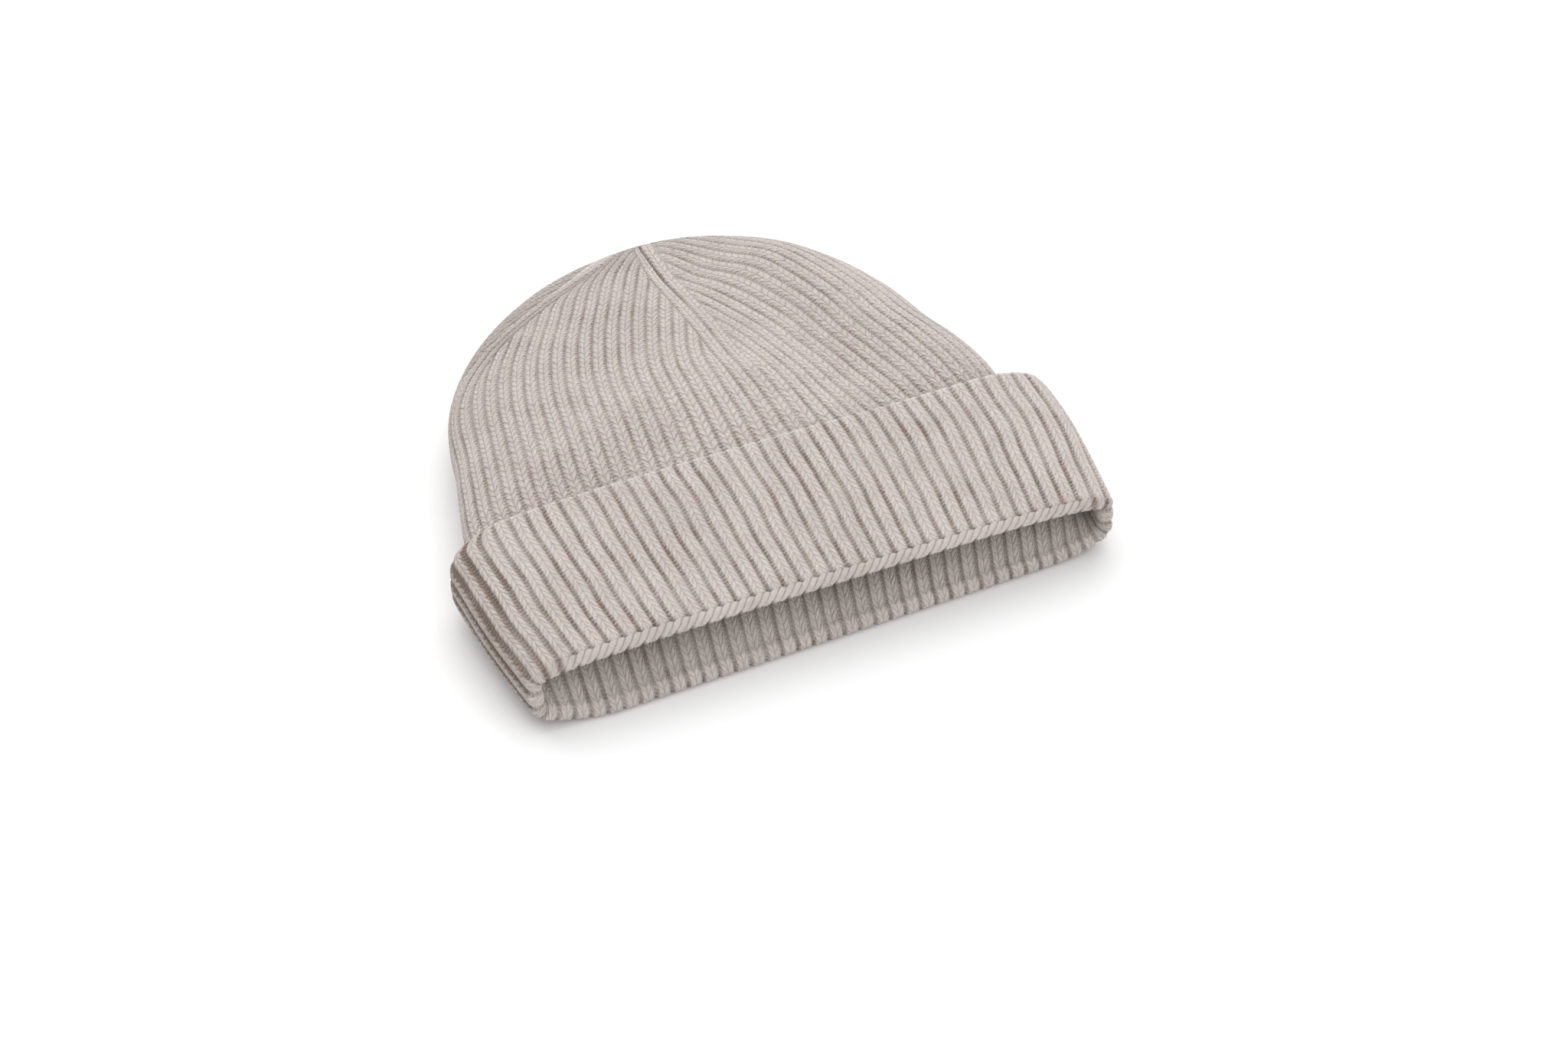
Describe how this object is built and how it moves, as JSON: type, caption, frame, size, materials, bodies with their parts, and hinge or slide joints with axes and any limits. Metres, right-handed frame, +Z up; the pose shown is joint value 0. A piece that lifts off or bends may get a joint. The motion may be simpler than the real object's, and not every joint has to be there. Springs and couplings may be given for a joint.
{
  "type": "wool beanie",
  "caption": "Ribbed wool beanie lying on its back, a hollow four-gore crown with its edge turned up as a cuff.",
  "frame": {"origin": "bottom centre of the hat's box, on the surface that the hat lies on", "axes": "+X across the mouth, +Y from the mouth towards the tip, +Z up from the surface"},
  "size_m": [0.2386, 0.2092, 0.0408],
  "materials": {
    "crown_knit": "soft ribbed wool, light greige melange",
    "cuff_knit": "soft ribbed wool, light greige melange"
  },
  "bodies": {
    "root": {"crown": "crown_knit", "cuff": "cuff_knit"}
  },
  "joints": []
}
